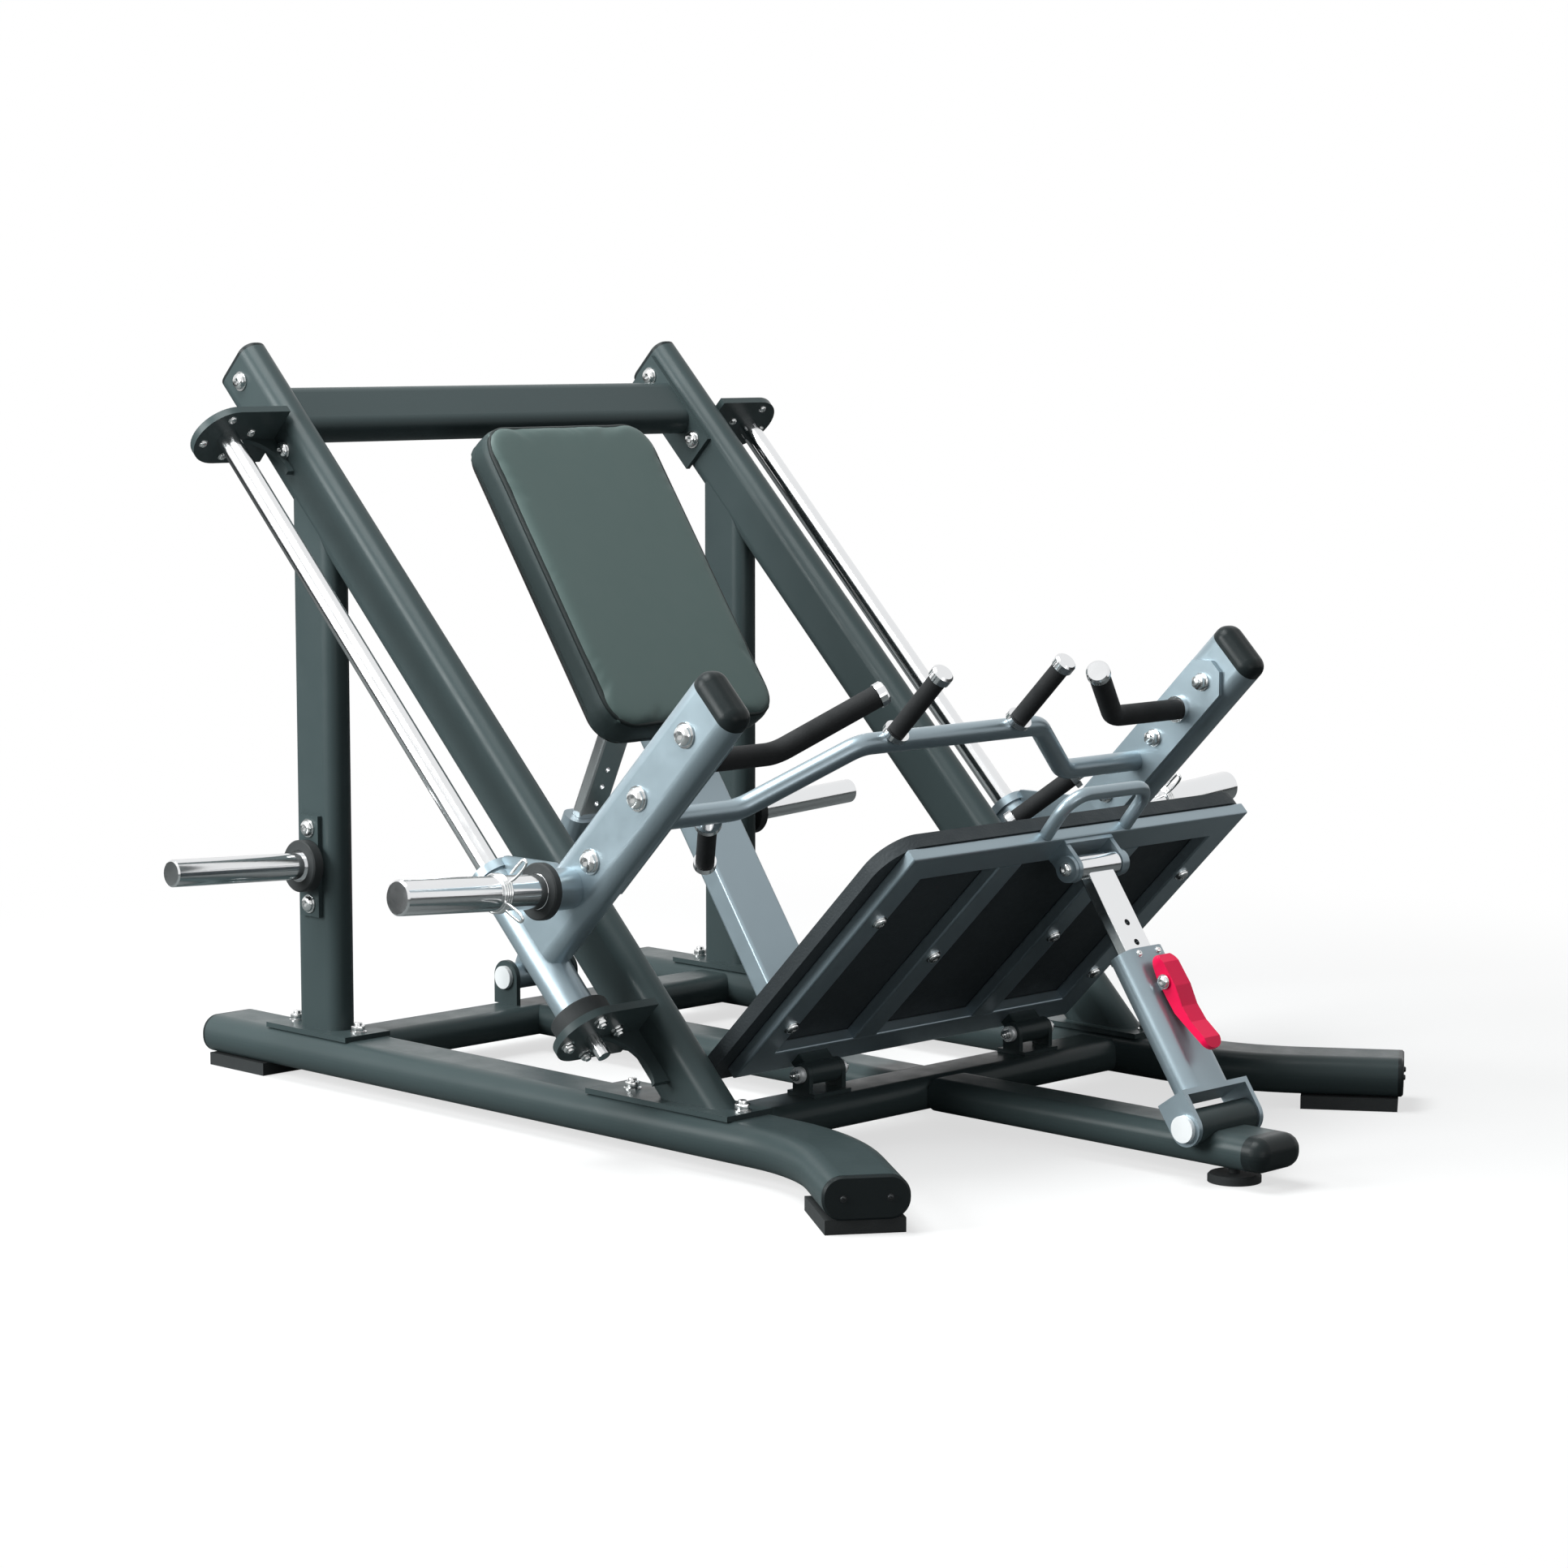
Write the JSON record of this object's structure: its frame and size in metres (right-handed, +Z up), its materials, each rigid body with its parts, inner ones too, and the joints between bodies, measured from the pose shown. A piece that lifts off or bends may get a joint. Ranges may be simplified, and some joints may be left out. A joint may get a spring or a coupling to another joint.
{
  "type": "leg press machine",
  "caption": "Inclined press machine with a carriage sliding on guide rods, a hinged footplate, a hinged back pad, telescoping adjusters, plate horns and storage horns.",
  "frame": {"origin": "on the floor under the middle of the machine", "axes": "+Z up, +X across the machine, -Y towards the footplate end, +Y towards the rear posts"},
  "size_m": [1.8092, 1.804, 1.1649],
  "materials": {
    "frame_paint": "satin",
    "carriage_paint": "metallic satin",
    "chrome": "polished",
    "rubber": "matt",
    "cap_plastic": "matt",
    "foam": "matt foam",
    "tread": "fine textured",
    "upholstery": "satin vinyl",
    "board": "painted black",
    "lever_red": "gloss"
  },
  "bodies": {
    "frame": {"rail_left": "frame_paint", "rail_right": "frame_paint", "frame_caps": "cap_plastic", "foot_blocks": "rubber", "front_cross_tube": "frame_paint", "rear_cross_tube": "frame_paint", "centre_tube": "frame_paint", "front_tube": "frame_paint", "levelling_foot": "rubber", "post_left": "frame_paint", "post_right": "frame_paint", "beam_left": "frame_paint", "beam_right": "frame_paint", "top_cross_beam": "frame_paint", "guide_rod_left": "chrome", "guide_rod_right": "chrome", "rod_top_brackets": "frame_paint", "rod_bottom_brackets": "frame_paint", "bumpers": "rubber", "storage_plates": "frame_paint", "storage_horns": "chrome", "storage_discs": "rubber", "hinge_brackets": "frame_paint", "front_pivot_tube": "frame_paint", "back_saddle": "frame_paint", "rear_clevis": "frame_paint", "pivot_pins": "chrome"},
    "carriage": {"carriage_left": "carriage_paint", "carriage_right": "carriage_paint", "arm_caps": "cap_plastic", "carriage_horns": "chrome", "horn_discs": "rubber", "yoke_plates": "carriage_paint", "cross_bar": "carriage_paint", "grip_posts": "carriage_paint", "grip_foams": "foam", "handles": "carriage_paint", "handle_foams": "foam"},
    "clip_left": {"clip_left": "chrome"},
    "clip_right": {"clip_right": "chrome"},
    "footplate": {"footplate_stiles": "carriage_paint", "footplate_rails": "carriage_paint", "footplate_slab": "tread", "footplate_loop": "carriage_paint", "footplate_barrels": "frame_paint", "footplate_bracket": "carriage_paint", "footplate_pin": "chrome"},
    "front_sleeve": {"front_sleeve": "carriage_paint"},
    "front_slide_bar": {"front_slide_bar": "chrome"},
    "front_lever": {"front_lever": "lever_red"},
    "front_plunger": {"front_plunger": "chrome"},
    "backrest": {"back_beam": "carriage_paint", "back_beam_cap": "cap_plastic", "back_top_pin": "chrome", "pad_board": "board", "back_pad": "upholstery"},
    "rear_sleeve": {"rear_sleeve": "carriage_paint"},
    "rear_slide_bar": {"rear_slide_bar": "chrome"},
    "rear_lever": {"rear_lever": "lever_red"},
    "rear_plunger": {"rear_plunger": "chrome"}
  },
  "joints": [
    {"name": "carriage_slide", "type": "slide", "parent": "frame", "child": "carriage", "axis": [0, 0.7071, 0.7071], "range_m": [0, 0.76]},
    {"name": "clip_left_slide", "type": "slide", "parent": "carriage", "child": "clip_left", "axis": [-0.9976, 0, 0.0698], "range_m": [-0.06, 0.15]},
    {"name": "clip_right_slide", "type": "slide", "parent": "carriage", "child": "clip_right", "axis": [0.9976, 0, 0.0698], "range_m": [-0.06, 0.15]},
    {"name": "footplate_tilt", "type": "hinge", "parent": "frame", "child": "footplate", "pos_m": [0, -0.229, 0.107], "axis": [1, 0, 0], "range_deg": [-9, 6]},
    {"name": "front_sleeve_tilt", "type": "hinge", "parent": "frame", "child": "front_sleeve", "pos_m": [0, -0.785, 0.08], "axis": [1, 0, 0], "range_deg": [-2, 1.4]},
    {"name": "front_bar_slide", "type": "slide", "parent": "front_sleeve", "child": "front_slide_bar", "axis": [0, 0.5636, 0.826], "range_m": [-0.048, 0.071]},
    {"name": "back_tilt", "type": "hinge", "parent": "frame", "child": "backrest", "pos_m": [0, 0.035, 0.115], "axis": [1, 0, 0], "range_deg": [-3, 9]},
    {"name": "rear_sleeve_tilt", "type": "hinge", "parent": "frame", "child": "rear_sleeve", "pos_m": [0, 0.657, 0.12], "axis": [1, 0, 0], "range_deg": [-1.6, 4.5]},
    {"name": "rear_bar_slide", "type": "slide", "parent": "rear_sleeve", "child": "rear_slide_bar", "axis": [0, -0.4256, 0.9049], "range_m": [-0.031, 0.09]},
    {"name": "front_lever_pull", "type": "hinge", "parent": "front_sleeve", "child": "front_lever", "pos_m": [0, -0.70126, 0.27104], "axis": [-1, 0, 0], "range_deg": [0, 14], "stiffness_Nm_per_rad": 4, "springref_deg": -20.05},
    {"name": "front_plunger_slide", "type": "slide", "parent": "front_sleeve", "child": "front_plunger", "axis": [0, -0.826, 0.5636], "range_m": [0, 0.0057]},
    {"name": "rear_lever_pull", "type": "hinge", "parent": "rear_sleeve", "child": "rear_lever", "pos_m": [0, 0.60459, 0.32189], "axis": [1, 0, 0], "range_deg": [0, 14], "stiffness_Nm_per_rad": 4, "springref_deg": -20.05},
    {"name": "rear_plunger_slide", "type": "slide", "parent": "rear_sleeve", "child": "rear_plunger", "axis": [0, 0.9049, 0.4256], "range_m": [0, 0.0057]}
  ],
  "couplings": [
    {"joint": "front_sleeve_tilt", "follows": "footplate_tilt", "ratio": 0.1998},
    {"joint": "front_bar_slide", "follows": "footplate_tilt", "m_per_rad": -0.4393},
    {"joint": "rear_sleeve_tilt", "follows": "back_tilt", "ratio": 0.4844},
    {"joint": "rear_bar_slide", "follows": "back_tilt", "m_per_rad": 0.5576},
    {"joint": "front_plunger_slide", "follows": "front_lever_pull", "m_per_rad": 0.022},
    {"joint": "rear_plunger_slide", "follows": "rear_lever_pull", "m_per_rad": 0.022}
  ]
}
